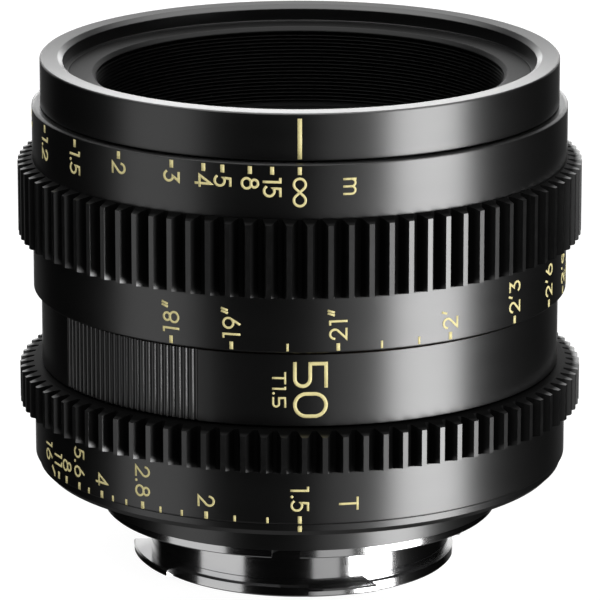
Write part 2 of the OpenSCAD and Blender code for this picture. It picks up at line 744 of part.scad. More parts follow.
module lens_tube() color("#29292b") {
    difference() {
        turned_solid([
            [stop_r, block_z], [tube_foot_r, block_z], [tube_foot_r, block_z + tube_foot_h],
            [block_r, block_z + tube_foot_h + tube_cone_h], [block_r, lube_groove_z],
            [block_r - lube_groove_depth, lube_groove_z],
            [block_r - lube_groove_depth, lube_groove_z + lube_groove_h],
            [block_r, lube_groove_z + lube_groove_h], [block_r, tube_top_z],
            [cell_body_r + seat_gap, tube_top_z], [cell_body_r + seat_gap, cell_seat_z],
            [mid_thread_r, cell_seat_z], [mid_thread_r, mid_edge_z],
            [mid_glass_r + glass_gap, mid_edge_z], [mid_glass_r + glass_gap, mid_seat_z],
            [stop_r, mid_seat_z]]);
        for (a = follower_angles)
            radial_rod(follower_shank_r, block_r - follower_shank, block_r + cut, a, follower_z);
        on_ring(cell_screw_angles, cell_screw_ring_r, rear_flange_bottom_z)
            cylinder(r = small_screw_r, h = cell_screw_l);
    }
}

// Follower: threaded shank in the lens tube, roller head in both slots
module cam_followers() color("goldenrod")
    for (a = follower_angles) difference() {
        union() {
            radial_rod(follower_shank_r, block_r - follower_shank, block_r + 2 * slack, a, follower_z);
            radial_rod(follower_r, block_r + slack, cam_r - follower_drop, a, follower_z);
        }
        rotate([0, 0, a])
            translate([cam_r - follower_drop - driver_slot_depth, -follower_r, follower_z - driver_slot_w / 2])
                cube([driver_slot_depth + cut, 2 * follower_r, driver_slot_w]);
    }

front_seat_z = block_z + v2 - sag(c2, front_glass_r);
front_lip_w = 1;
front_lip_r = front_glass_r - front_lip_w;
retainer_rise = 0.15;
retainer_z = block_z + v1 - sag(c1, front_lip_r) + retainer_rise;
retainer_drop = 0.6;
retainer_lip_h = 0.8;
cell_top_z = tube_top_z + cell_rim_h;
retainer_top_z = cell_top_z - retainer_drop;
cell_ledge_drop = 0.4;
cell_ledge_z = retainer_z - cell_ledge_drop;
cell_bevel = 0.2;
cell_mouth_w = 0.5;

module front_cell() color("#1c1c1d")
    turned_solid([
        [front_lip_r, cell_seat_z + slack], [cell_body_r, cell_seat_z + slack],
        [cell_body_r, tube_top_z], [cell_r, tube_top_z], [cell_r, cell_top_z - cell_bevel],
        [cell_r - cell_bevel, cell_top_z], [retainer_r + cell_mouth_w, cell_top_z],
        [retainer_r + seat_gap, retainer_top_z], [retainer_r + seat_gap, cell_ledge_z],
        [front_glass_r + glass_gap, cell_ledge_z], [front_glass_r + glass_gap, front_seat_z],
        [front_lip_r, front_seat_z]]);

module front_retainer() color("#1c1c1d")
    turned_solid([
        [front_lip_r, retainer_z], [retainer_r, retainer_z], [retainer_r, retainer_top_z],
        [retainer_r - retainer_drop, retainer_top_z], [front_lip_r, retainer_z + retainer_lip_h]]);

// Element with a rounded front at one level, a rim down to another, and a rear that a ball hollows or meets
module element(radius, top, top_c, rim, hollow, hollow_c) color("lightblue", 0.4)
    difference() {
        intersection() {
            translate([0, 0, rim]) cylinder(r = radius, h = top - rim);
            translate([0, 0, top - top_c]) sphere(r = top_c);
        }
        translate([0, 0, hollow - hollow_c]) sphere(r = hollow_c);
    }

module element_1() element(front_glass_r, block_z + v1, c1, front_seat_z, block_z + v2, c2);

module element_2()
    element(mid_glass_r, block_z + v3, c3, block_z + v4 - sag(c4, mid_glass_r), block_z + v4, c4);

module element_3() element(mid_glass_r, block_z + v4, c4, mid_seat_z, block_z + v5, c5);

group_lip_w = 0.5;
group_lip_h = 0.85;

module group_retainer() color("#1c1c1d")
    turned_solid([
        [mid_glass_r, mid_edge_z + slack], [mid_thread_r - seat_gap, mid_edge_z + slack],
        [mid_thread_r - seat_gap, mid_edge_z + slack + group_retainer_h],
        [mid_glass_r + group_lip_w, mid_edge_z + slack + group_retainer_h],
        [mid_glass_r - group_lip_w, mid_edge_z + slack + group_lip_h]]);

// Iris housing: a plate with the blade pivots, and a wall round the cam ring

module iris_housing() color("#29292b") {
    difference() {
        union() {
            ring(iris_housing_r, stop_r, stack_z, iris_plate_t);
            ring(iris_housing_r, iris_wall_bore_r, rear_flange_z, stack_z - rear_flange_z);
        }
        on_ring(evenly(blades, 0), blade_pivot_r, stack_z - cut)
            cylinder(r = blade_pin_r + run_fit, h = iris_plate_t + 2 * cut);
        sector(iris_housing_r + cut, iris_wall_bore_r - cut, rear_flange_z - cut,
               cut + cam_ring_t + 2 * stack_play, drive_angle - fork_half_angle - fork_window,
               drive_angle + iris_turn + fork_half_angle + fork_window);
        on_ring(cell_screw_angles, cell_screw_ring_r, rear_flange_bottom_z)
            cylinder(r = small_screw_r, h = cell_screw_l);
    }
}

// Blades: each arc stands clear of the open stop and turns inwards about its pivot

function blade_pivot() = on_circle(blade_pivot_r, 0);
function blade_drive() = on_circle(blade_pin_circle, blade_pin_lead);
// Path of a drive pin, seen from the cam ring, as the iris closes
function drive_path(part) =
    turned(blade_pivot() + turned(blade_drive() - blade_pivot(), blade_turn * part), -iris_turn * part);

module blade_sheet() {
    difference() {
        union() {
            difference() {
                circle(r = stop_r + blade_w);
                circle(r = stop_r);
                blade_cutter();
            }
            translate(on_circle(stop_r + blade_w / 2, blade_arc)) circle(r = blade_w / 2);
            intersection() {
                difference() {
                    circle(r = blade_pivot_r + blade_boss_r - blade_pivot_inset);
                    circle(r = stop_r + blade_w - blade_neck_w);
                }
                polygon([[0, 0], on_circle(2 * blade_pivot_r, 0), on_circle(2 * blade_pivot_r, blade_pin_lead)]);
            }
            translate(blade_pivot()) circle(r = blade_boss_r);
            translate(blade_drive()) circle(r = blade_boss_r);
        }
        circle(r = stop_r);
    }
}

blade_heel = 4;         // angle that the blade reaches behind its pivot
blade_cutter_steps = 5;

// Everything outside the angle that the blade's arc covers
module blade_cutter() {
    far = 3 * blade_pivot_r;
    step = (360 - blade_heel - blade_arc) / blade_cutter_steps;
    polygon(concat([[0, 0]], [for (i = [0 : blade_cutter_steps]) on_circle(far, blade_arc + i * step)]));
}

module iris_blade(i) color("#303033") {
    level = blades_z + (i - 1) * blade_step;
    rotate([0, 0, (i - 1) * 360 / blades]) {
        translate([0, 0, level]) linear_extrude(blade_t) blade_sheet();
        translate(concat(blade_pivot(), level)) cylinder(r = blade_pin_r, h = block_z - slack - level);
        translate(concat(blade_drive(), cam_ring_z + slack))
            cylinder(r = blade_pin_r, h = level + blade_t - cam_ring_z - slack);
    }
}

// Cam ring: one curved slot for each blade, and the fork that the iris ring drives

module cam_slot() {
    steps = [for (i = [0 : blade_slot_steps]) i / blade_slot_steps];
    path = [for (s = steps) drive_path(s)];
    last = len(path) - 1;
    normals = [for (i = [0 : last])
        let (t = path[min(i + 1, last)] - path[max(i - 1, 0)], n = norm(t)) [-t[1] / n, t[0] / n]];
    polygon(concat([for (i = [0 : last]) path[i] + blade_slot_r * normals[i]],
                   [for (i = [last : -1 : 0]) path[i] - blade_slot_r * normals[i]]));
    for (end = [path[0], path[last]]) translate(end) circle(r = blade_slot_r);
}

module iris_cam_ring() color("#8a8a8c") {
    difference() {
        union() {
            ring(iris_wall_bore_r - run_fit, stop_r + cam_ring_land, cam_ring_z, cam_ring_t);
            sector(fork_r + fork_t, iris_wall_bore_r - cut, cam_ring_z, cam_ring_t,
                   drive_angle - fork_half_angle, drive_angle + fork_half_angle);
            sector(fork_r + fork_t, fork_r, fork_z, cam_ring_z + cam_ring_t - fork_z,
                   drive_angle - fork_half_angle, drive_angle + fork_half_angle);
        }
        for (i = [0 : blades - 1]) rotate([0, 0, i * 360 / blades])
            translate([0, 0, cam_ring_z - cut]) linear_extrude(cam_ring_t + 2 * cut) cam_slot();
        rotate([0, 0, drive_angle]) translate([fork_r - cut, -drive_pin_r - run_fit, fork_z - cut])
            cube([fork_t + 2 * cut, 2 * (drive_pin_r + run_fit), cam_ring_z + cam_ring_t - fork_z + 2 * cut]);
    }
}

// Rear cell with the rear group

cell_screw_angles = [126, 216, 306];   // clear of the fork's window
cell_screw_bite = 1.8;
cell_screw_l = block_z + cell_screw_bite - rear_flange_bottom_z;
rear_bore_r = rear_glass_r + glass_gap;
rear_edge_z = v10_z + sag(c10, rear_glass_r);
rear_thread_w = 0.95;
rear_thread_r = rear_bore_r + rear_thread_w;
rear_cell_tail = 1.2;
rear_cell_z = v10_z - rear_cell_tail;

module rear_cell() color("#1c1c1d") {
    difference() {
        turned_solid([
            [rear_thread_r, rear_cell_z], [rear_cell_r, rear_cell_z],
            [rear_cell_r, rear_flange_bottom_z], [rear_flange_r, rear_flange_bottom_z],
            [rear_flange_r, rear_flange_z], [stop_r, rear_flange_z], [stop_r, rear_glass_top_z + glass_gap],
            [rear_bore_r, rear_glass_top_z + glass_gap], [rear_bore_r, rear_edge_z - glass_gap],
            [rear_thread_r, rear_edge_z - glass_gap]]);
        on_ring(cell_screw_angles, cell_screw_ring_r, rear_flange_bottom_z)
            countersink(small_screw_r, small_head_r, cell_screw_l);
    }
}

module rear_cell_screws() color("#2a2a2b")
    on_ring(cell_screw_angles, cell_screw_ring_r, rear_flange_bottom_z)
        countersunk(small_screw_r, small_head_r, cell_screw_l);

cement_edge_z = v7_z - sag(c7, rear_glass_r);

module element_4() color("lightblue", 0.4)
    difference() {
        translate([0, 0, cement_edge_z]) cylinder(r = rear_glass_r, h = rear_glass_top_z - cement_edge_z);
        translate([0, 0, v6_z + c6]) sphere(r = c6);
        translate([0, 0, v7_z - c7]) sphere(r = c7);
    }

// Element that is rounded at the back, with its rim up to a level
module rear_element(top, low, low_c)
    intersection() {
        translate([0, 0, low]) cylinder(r = rear_glass_r, h = top - low);
        translate([0, 0, low + low_c]) sphere(r = low_c);
    }

module element_5() color("lightblue", 0.4)
    intersection() {
        rear_element(v7_z, v8_z, c8);
        translate([0, 0, v7_z - c7]) sphere(r = c7);
    }

module element_6() color("lightblue", 0.4) rear_element(v9_z, v10_z, c10);

spacer_w = 1.3;

module rear_spacer() color("#1c1c1d")
    turned_solid([
        [rear_glass_r - spacer_w, v9_z + glass_gap], [rear_glass_r, v9_z + glass_gap],
        [rear_glass_r, v8_z + sag(c8, rear_glass_r) - slack],
        [rear_glass_r - spacer_w, v8_z + sag(c8, rear_glass_r - spacer_w) - slack]]);

rear_retainer_tip_w = 0.8;
rear_retainer_drop = 0.2;

module rear_retainer() color("#1c1c1d")
    turned_solid([
        [rear_glass_r - rear_retainer_tip_w, rear_cell_z + rear_retainer_drop],
        [rear_thread_r - seat_gap, rear_cell_z + rear_retainer_drop],
        [rear_thread_r - seat_gap, rear_edge_z - slack], [rear_glass_r, rear_edge_z - slack],
        [rear_glass_r - spacer_w, v10_z + sag(c10, rear_glass_r - spacer_w) - slack]]);

// Iris ring

module iris_ring() color("#1a1a1b") {
    difference() {
        turned_solid([
            [iris_foot_bore_r, iris_z], [ring_r - scale_bevel, iris_z], [ring_r, iris_z + scale_bevel],
            [ring_r, iris_gear_z], [gear_seat_r, iris_gear_z], [gear_seat_r, iris_top_z],
            [guide_r + run_fit, iris_top_z], [guide_r + run_fit, plate_top_z + guide_foot_t + iris_foot_play],
            [iris_foot_bore_r, plate_top_z + guide_foot_t + iris_foot_play]]);
        radial_rod(drive_pin_r, guide_r - cut, gear_seat_r + cut, drive_angle, drive_pin_z);
    }
}

module iris_gear() color("#0e0e0f") spur_ring(iris_gear_z, iris_gear_h, iris_gear_turn);

module iris_drive_pin() color("silver")
    radial_rod(drive_pin_r, fork_r + slack, gear_seat_r - slack, drive_angle, drive_pin_z);

bayonet_mount();
mount_screws();
mount_bead();
rear_barrel();
rear_barrel_screws();
guide_barrel();
grip_barrel();
grip_screws();
rear_washer();
front_washer();
front_ring();
front_baffle();
focus_ring();
focus_gear();
distance_ring();
cam_tube();
focus_screws();
focus_stop_pin();
lens_tube();
cam_followers();
front_cell();
front_retainer();
element_1();
element_2();
element_3();
group_retainer();
iris_housing();
rear_cell();
rear_cell_screws();
element_4();
element_5();
element_6();
rear_spacer();
rear_retainer();
iris_ring();
iris_gear();
iris_drive_pin();
iris_cam_ring();
for (i = [1 : blades]) iris_blade(i);
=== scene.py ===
"""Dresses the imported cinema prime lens: finishes for its parts, engraved scales and the studio."""

import logging
import math
from dataclasses import dataclass, field, replace
from enum import Enum
from typing import Iterable, Sequence, Union

import bpy
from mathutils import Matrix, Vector


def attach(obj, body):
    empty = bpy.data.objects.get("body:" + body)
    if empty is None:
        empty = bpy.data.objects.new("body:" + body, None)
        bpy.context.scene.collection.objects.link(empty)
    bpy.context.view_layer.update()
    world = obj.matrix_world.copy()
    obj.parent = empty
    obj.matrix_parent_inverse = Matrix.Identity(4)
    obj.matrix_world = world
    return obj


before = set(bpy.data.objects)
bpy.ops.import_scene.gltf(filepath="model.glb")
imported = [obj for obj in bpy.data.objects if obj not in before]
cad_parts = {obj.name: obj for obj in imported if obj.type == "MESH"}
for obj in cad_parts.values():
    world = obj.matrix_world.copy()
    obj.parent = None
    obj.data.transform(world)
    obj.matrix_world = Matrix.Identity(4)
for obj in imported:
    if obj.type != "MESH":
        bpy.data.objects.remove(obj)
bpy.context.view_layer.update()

log = logging.getLogger("lens")
MM = 0.001

# How deep the turning marks of a black finish are, in millimetres.
RELIEF_MM = 0.001
# Over how many millimetres of radius a finish turns dull.
DULL_DEPTH = 0.9
# What the grains add to the roughness of a black finish on average.
GRAIN_MEAN = 0.045

Value = Union[float, "Wire"]
Colour = tuple[float, float, float]
Stroke = list[tuple[float, float]]


def grey(level: float) -> Colour:
    """A neutral linear colour."""
    return (level, level, level)


def linear(red: int, green: int, blue: int) -> Colour:
    """Turns 0 to 255 display values into a linear colour.

    Args:
        red: Display red.
        green: Display green.
        blue: Display blue.

    Returns:
        The same colour as linear light.
    """
    def one(value: int) -> float:
        """Linear light of one channel."""
        part = value / 255
        return part / 12.92 if part <= 0.04045 else ((part + 0.055) / 1.055) ** 2.4

    return (one(red), one(green), one(blue))


# Shader graphs


class Wire:
    """A value in a shader graph, on which plain arithmetic adds Math nodes."""

    def __init__(self, graph: "Graph", socket: bpy.types.NodeSocket) -> None:
        """Wraps a socket.

        Args:
            graph: The graph that the socket is in.
            socket: The output that carries the value.
        """
        self.graph = graph
        self.socket = socket

    def _math(self, operation: str, *values: Value) -> "Wire":
        """Adds one Math node.

        Args:
            operation: Blender's name for the operation.
            values: The operands in order.

        Returns:
            The node's result.
        """
        node = self.graph.add("ShaderNodeMath", {"operation": operation}, dict(enumerate(values)))
        return Wire(self.graph, node.outputs[0])

    def __add__(self, other: Value) -> "Wire":
        """Sum."""
        return self._math("ADD", self, other)

    def __radd__(self, other: Value) -> "Wire":
        """Sum, reflected."""
        return self._math("ADD", other, self)

    def __sub__(self, other: Value) -> "Wire":
        """Difference."""
        return self._math("SUBTRACT", self, other)

    def __rsub__(self, other: Value) -> "Wire":
        """Difference, reflected."""
        return self._math("SUBTRACT", other, self)

    def __mul__(self, other: Value) -> "Wire":
        """Product."""
        return self._math("MULTIPLY", self, other)

    def __rmul__(self, other: Value) -> "Wire":
        """Product, reflected."""
        return self._math("MULTIPLY", other, self)

    def __truediv__(self, other: Value) -> "Wire":
        """Quotient."""
        return self._math("DIVIDE", self, other)

    def __pow__(self, other: Value) -> "Wire":
        """Power."""
        return self._math("POWER", self, other)

    def ramp(self, low: float, high: float) -> "Wire":
        """A smooth step of the value.

        Args:
            low: Where the step is still 0.
            high: Where it has reached 1.

        Returns:
            The step, from 0 to 1.
        """
        node = self.graph.add(
            "ShaderNodeMapRange",
            {"interpolation_type": "SMOOTHSTEP"},
            {"Value": self, "From Min": low, "From Max": high},
        )
        return Wire(self.graph, node.outputs["Result"])


class Graph:
    """The nodes of one material or world."""

    def __init__(self, tree: bpy.types.NodeTree) -> None:
        """Empties the tree and takes it over.

        Args:
            tree: The node tree to fill.
        """
        self.tree = tree
        tree.nodes.clear()

    def add(self, kind: str, settings: dict | None = None, sockets: dict | None = None) -> bpy.types.Node:
        """Adds any node.

        Args:
            kind: The node's type.
            settings: Properties of the node, set first.
            sockets: Values or wires for its inputs, by name or number.

        Returns:
            The new node.
        """
        node = self.tree.nodes.new(kind)
        for name, value in (settings or {}).items():
            setattr(node, name, value)
        for name, value in (sockets or {}).items():
            self.plug(node.inputs[name], value)
        return node

    def plug(self, socket: bpy.types.NodeSocket, value: object) -> None:
        """Links a wire or an output to an input, or sets a plain value on it.

        Args:
            socket: The input.
            value: A wire, an output socket, a number or a tuple.
        """
        if isinstance(value, Wire):
            self.tree.links.new(value.socket, socket)
        elif isinstance(value, bpy.types.NodeSocket):
            self.tree.links.new(value, socket)
        elif isinstance(value, tuple) and len(value) == 3 and socket.type == "RGBA":
            socket.default_value = (*value, 1.0)
        else:
            socket.default_value = value

    def tint(self, mask: Value, base: object, other: object) -> bpy.types.NodeSocket:
        """Mixes two colours.

        Args:
            mask: 0 shows base, 1 shows other.
            base: A colour or a colour output.
            other: A colour or a colour output.

        Returns:
            The mixed colour.
        """
        node = self.add("ShaderNodeMix", {"data_type": "RGBA"}, {0: mask, 6: base, 7: other})
        return node.outputs[2]

    def place(self) -> tuple[Wire, Wire, Wire]:
        """The place of the shaded point in the lens frame.

        Returns:
            x, y and z in millimetres.
        """
        where = self.add("ShaderNodeTexCoord")
        parts = self.add("ShaderNodeSeparateXYZ", sockets={0: where.outputs["Object"]})
        return tuple(Wire(self, parts.outputs[i]) * 1000.0 for i in range(3))

    def turned(self, fine: float, around: float, detail: float = 2.0) -> Wire:
        """Noise drawn out around the lens axis, as a lathe leaves it.

        Args:
            fine: Marks per millimetre along and across the axis.
            around: How quickly the marks change around the axis.
            detail: Octaves of the noise.

        Returns:
            The noise, from 0 to 1.
        """
        x, y, z = self.place()
        radius = (x * x + y * y + 0.01) ** 0.5
        vector = self.add(
            "ShaderNodeCombineXYZ",
            sockets={0: radius * fine, 1: z * fine, 2: x / radius * around},
        )
        noise = self.add(
            "ShaderNodeTexNoise",
            {"noise_dimensions": "4D"},
            {"Vector": vector.outputs[0], "W": y / radius * around, "Scale": 1.0, "Detail": detail},
        )
        return Wire(self, noise.outputs["Fac"])

    def grain(self, per_mm: float, detail: float = 2.0) -> Wire:
        """Even noise with no direction.

        Args:
            per_mm: Grains per millimetre.
            detail: Octaves of the noise.

        Returns:
            The noise, from 0 to 1.
        """
        where = self.add("ShaderNodeTexCoord")
        noise = self.add(
            "ShaderNodeTexNoise",
            sockets={"Vector": where.outputs["Object"], "Scale": per_mm * 1000.0, "Detail": detail},
        )
        return Wire(self, noise.outputs["Fac"])

    def radius(self) -> Wire:
        """Distance from the optical axis in millimetres."""
        x, y, _ = self.place()
        return (x * x + y * y) ** 0.5

    def facing_front(self) -> Wire:
        """1 on flat faces that look to the front of the lens, 0 on all others."""
        shape = self.add("ShaderNodeNewGeometry")
        parts = self.add("ShaderNodeSeparateXYZ", sockets={0: shape.outputs["True Normal"]})
        return Wire(self, parts.outputs[2]).ramp(0.9, 0.99)

    def relief(self, height: Wire, depth_mm: float, edge_mm: float = 0.0) -> bpy.types.NodeSocket:
        """Turns a height into a normal, over edges that are broken by a small radius.

        Args:
            height: The height, from 0 to 1.
            depth_mm: What a height of 1 stands for.
            edge_mm: Radius of the edges, or 0 to leave them sharp.

        Returns:
            The normal.
        """
        bump = self.add("ShaderNodeBump", sockets={"Height": height, "Distance": depth_mm * MM})
        if edge_mm:
            rounded = self.add("ShaderNodeBevel", {"samples": 4}, {"Radius": edge_mm * MM})
            self.plug(bump.inputs["Normal"], rounded.outputs[0])
        return bump.outputs["Normal"]

    def finish(self, dull: Wire | None = None, **sockets: object) -> None:
        """Ends a material in one Principled shader, or in two where a part of the surface is dull.

        Args:
            dull: 1 where the surface has hardly any gloss, if anywhere.
            sockets: The shader's inputs, with spaces written as underscores.
        """
        plain = {k.replace("_", " "): v for k, v in sockets.items()}
        shader = self.add("ShaderNodeBsdfPrincipled", sockets=plain)
        if dull:
            matt = self.add("ShaderNodeBsdfPrincipled", sockets=plain | {"IOR": 1.15, "Roughness": 0.6})
            shader = self.add("ShaderNodeMixShader", sockets={
                0: dull, 1: shader.outputs[0], 2: matt.outputs[0],
            })
        end = self.add("ShaderNodeOutputMaterial")
        self.tree.links.new(shader.outputs[0], end.inputs[0])


def new_material(name: str) -> tuple[bpy.types.Material, Graph]:
    """Starts a material.

    Args:
        name: Its name.

    Returns:
        The material and its empty graph.
    """
    material = bpy.data.materials.new(name)
    material.use_nodes = True
    return material, Graph(material.node_tree)


@dataclass(frozen=True)
class BlackAnodised:
    """Black anodised aluminium, from satin to matte.

    Attributes:
        name: The material's name.
        colour: The dye's colour.
        roughness: Its mean roughness.
        index: Refractive index of the sealed layer, which sets how bright its gloss is.
        worn_from: Radius in millimetres from which the edges are rubbed paler, or 0 for none.
        worn_to: Radius at which they are fully rubbed.
        dull_to: Radius from which the surface gets duller inwards, as between gear teeth, or 0 for none.
        dished: Angle in degrees by which front faces are turned down towards the axis.
        edge: Radius of the broken edges in millimetres.
    """

    name: str
    colour: float = 0.002
    roughness: float = 0.3
    index: float = 1.85
    worn_from: float = 0.0
    worn_to: float = 0.0
    dull_to: float = 0.0
    dished: float = 0.0
    edge: float = 0.1

    def build(self) -> bpy.types.Material:
        """Makes the material."""
        material, graph = new_material(self.name)
        lathe = graph.turned(9.0, 1.2)
        cloudy = graph.turned(0.35, 1.6, 3.0)
        blast = graph.grain(9.0)
        colour = graph.tint(cloudy, grey(self.colour * 0.8), grey(self.colour * 1.25))
        if self.worn_to:
            worn = graph.radius().ramp(self.worn_from, self.worn_to)
            rubbed = worn * graph.grain(1.4, 4.0).ramp(0.4, 0.75)
            colour = graph.tint(rubbed, colour, grey(self.colour * 3.0))
        dull = None
        if self.dull_to:
            dull = 1 - graph.radius().ramp(self.dull_to - DULL_DEPTH, self.dull_to)
        height = lathe * 0.6 + blast * 0.4
        if self.dished:
            slope = math.tan(math.radians(self.dished)) / RELIEF_MM
            height = height + graph.radius() * graph.facing_front() * slope
        graph.finish(
            dull,
            Base_Color=colour,
            Roughness=cloudy * 0.05 + blast * 0.04 + (self.roughness - GRAIN_MEAN),
            IOR=self.index,
            Normal=graph.relief(height, RELIEF_MM, self.edge),
        )
        return material


@dataclass(frozen=True)
class TurnedMetal:
    """Bare or plated metal with the fine rings of a lathe or a polishing wheel.

    Attributes:
        name: The material's name.
        colour: The metal's colour.
        tarnish: The colour that it drifts to in patches.
        roughness: Its mean roughness.
        marks: Depth of the turning marks in millimetres.
        edge: Radius of the broken edges in millimetres.
        painted_slot_shade: Whether the lock's slot in the flange is painted near-black and rough as painted
            shade, which hides the highlight on the slot's wall.
    """

    name: str
    colour: Colour
    tarnish: Colour
    roughness: float
    marks: float
    edge: float = 0.08
    painted_slot_shade: bool = False

    def build(self) -> bpy.types.Material:
        """Makes the material."""
        material, graph = new_material(self.name)
        lathe = graph.turned(7.0, 0.8, 3.0)
        patches = graph.turned(0.3, 1.5, 3.0)
        colour = graph.tint(patches.ramp(0.45, 0.8), self.colour, self.tarnish)
        rough: Value = self.roughness - 0.055
        if self.painted_slot_shade:
            # Painted shade: the lock's slot in the flange is coloured near-black and made rough. This stands
            # in for the shade in the recess and hides its highlight.
            x, y, z = graph.place()
            radius = (x * x + y * y) ** 0.5
            slot = z.ramp(-0.2, -0.1) * radius.ramp(19.6, 19.9) * (1 - radius.ramp(25.1, 25.3))
            slot = slot * x.ramp(-4.4, -3.9) * (1 - x.ramp(3.9, 4.4)) * (1 - y.ramp(-1.0, 0.0))
            colour = graph.tint(slot, colour, grey(0.02))
            rough = slot * 0.6 + rough
        graph.finish(
            Base_Color=colour,
            Metallic=1.0,
            Roughness=lathe * 0.06 + patches * 0.05 + rough,
            Normal=graph.relief(lathe, self.marks * 0.5, self.edge),
        )
        return material


@dataclass(frozen=True)
class CoatedGlass:
    """Polished optical glass with an anti-reflection coating.

    Attributes:
        name: The material's name.
        tint: What the glass lets through.
        bloom: The colour that the coating reflects.
    """

    name: str
    tint: Colour
    bloom: Colour

    def build(self) -> bpy.types.Material:
        """Makes the material."""
        material, graph = new_material(self.name)
        haze = graph.grain(0.08, 3.0)
        graph.finish(
            Base_Color=graph.tint(haze, self.tint, tuple(c * 0.97 for c in self.tint)),
            Roughness=haze.ramp(0.35, 0.8) * 0.015,
            IOR=1.6,
            Transmission_Weight=1.0,
            Specular_Tint=self.bloom,
        )
        return material


@dataclass(frozen=True)
class Paint:
    """Paint that fills the engraved marks, or a small painted bead.

    Attributes:
        name: The material's name.
        colour: The paint's colour.
        roughness: Its mean roughness.
        uneven: How much darker the thin places are.
    """

    name: str
    colour: Colour
    roughness: float
    uneven: float

    def build(self) -> bpy.types.Material:
        """Makes the material."""
        material, graph = new_material(self.name)
        pooled = graph.grain(3.0, 3.0)
        thin = tuple(c * (1 - self.uneven) for c in self.colour)
        graph.finish(
            Base_Color=graph.tint(pooled.ramp(0.3, 0.7), thin, self.colour),
            Roughness=pooled * 0.1 + (self.roughness - 0.05),
            Normal=graph.relief(pooled, 0.005),
        )
        return material


class Finish(Enum):
    """Every finish on the lens."""

    SATIN_BLACK = BlackAnodised("anodised_satin")
    RING_BLACK = BlackAnodised("anodised_ring", edge=0.25)
    RIM_BLACK = BlackAnodised("anodised_rim", dished=5.0, edge=0.2)
    GEAR_BLACK = BlackAnodised(
        "anodised_gear", colour=0.0025, worn_from=36.1, worn_to=36.42, dull_to=36.3, edge=0.0,
    )
    LIGHT_TRAP = BlackAnodised("anodised_light_trap", roughness=0.5, index=1.45)
    BAFFLE = BlackAnodised("anodised_baffle", roughness=0.4, index=1.35, edge=0.25)
    SCREW_BLACK = BlackAnodised("blackened_screw", colour=0.01, roughness=0.28, index=1.9)
    BLADE_BLACK = BlackAnodised("blackened_blade", colour=0.015, roughness=0.45, index=1.6)
    GUIDE = BlackAnodised("hard_anodised_guide", colour=0.06, roughness=0.4, index=1.6)
    # The chrome's lock slot in the flange gets painted shade, a near-black rough patch.
    CHROME = TurnedMetal("mount_chrome", grey(0.7), (0.62, 0.62, 0.64), 0.13, 0.0001, edge=0.0, painted_slot_shade=True)
    BRONZE = TurnedMetal("washer_bronze", (0.1, 0.065, 0.035), (0.06, 0.04, 0.025), 0.4, 0.002)
    BRASS = TurnedMetal("turned_brass", (0.68, 0.5, 0.22), (0.5, 0.34, 0.13), 0.28, 0.002)
    STEEL = TurnedMetal("ground_steel", grey(0.52), (0.42, 0.42, 0.44), 0.25, 0.0015)
    GLASS = CoatedGlass("coated_lens_glass", (0.96, 0.98, 0.97), (0.1, 0.17, 0.16))
    MARK_PAINT = Paint("mark_paint", linear(232, 220, 158), 0.45, 0.1)
    BEAD_RED = Paint("bead_enamel", (0.5, 0.012, 0.01), 0.22, 0.2)

    def material(self) -> bpy.types.Material:
        """The finish's one material, made when it is first asked for."""
        return bpy.data.materials.get(self.value.name) or self.value.build()


def dress(finish: Finish, *nodes: str) -> None:
    """Gives CAD nodes a finish.

    Args:
        finish: The finish.
        nodes: The names of the nodes.
    """
    for name in nodes:
        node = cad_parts[name]
        node.data.materials.clear()
        node.data.materials.append(finish.material())
        log.info("%s: %s", name, finish.value.name)


class Piece:
    """A mesh that is added to the CAD nodes."""

    def __init__(self, name: str, finish: Finish, body: str, slot: str) -> None:
        """Starts an empty piece.

        Args:
            name: The piece's name.
            finish: Its finish.
            body: The body that it rides on.
            slot: The record's material slot; not used.
        """
        self.name, self.finish, self.body, self.slot = name, finish, body, slot
        self.points: list[tuple[float, float, float]] = []
        self.faces: list[tuple[int, ...]] = []

    def add(self, points: Iterable[Sequence[float]], faces: Iterable[Sequence[int]]) -> None:
        """Adds points in millimetres and the faces between them.

        Args:
            points: The new points.
            faces: Faces, numbered from the first of the new points.
        """
        first = len(self.points)
        self.points += [tuple(c * MM for c in p) for p in points]
        self.faces += [tuple(first + i for i in f) for f in faces]

    def sweep(self, rows: list[list[Sequence[float]]], closed: bool) -> None:
        """Skins equal closed sections, one after another.

        Args:
            rows: The points of each section.
            closed: Whether the last section joins the first; otherwise both ends are capped.
        """
        size, count = len(rows[0]), len(rows)
        faces = [
            (i * size + j, i * size + (j + 1) % size,
             (i + 1) % count * size + (j + 1) % size, (i + 1) % count * size + j)
            for i in range(count if closed else count - 1)
            for j in range(size)
        ]
        if not closed:
            faces += [tuple(range(size))[::-1], tuple((count - 1) * size + j for j in range(size))]
        self.add([p for row in rows for p in row], faces)

    def make(self, smooth: bool) -> bpy.types.Object:
        """Builds the object, dresses it and hangs it on its body.

        Args:
            smooth: Whether its faces shade smoothly.

        Returns:
            The object.
        """
        mesh = bpy.data.meshes.new(self.name)
        mesh.from_pydata(self.points, [], self.faces)
        mesh.validate()
        mesh.polygons.foreach_set("use_smooth", [smooth] * len(mesh.polygons))
        mesh.materials.append(self.finish.material())
        made = bpy.data.objects.new(self.name, mesh)
        bpy.context.scene.collection.objects.link(made)
        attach(made, self.body)
        log.info("%s: %d faces on %s", self.name, len(self.faces), self.body)
        return made


# Engraved marks


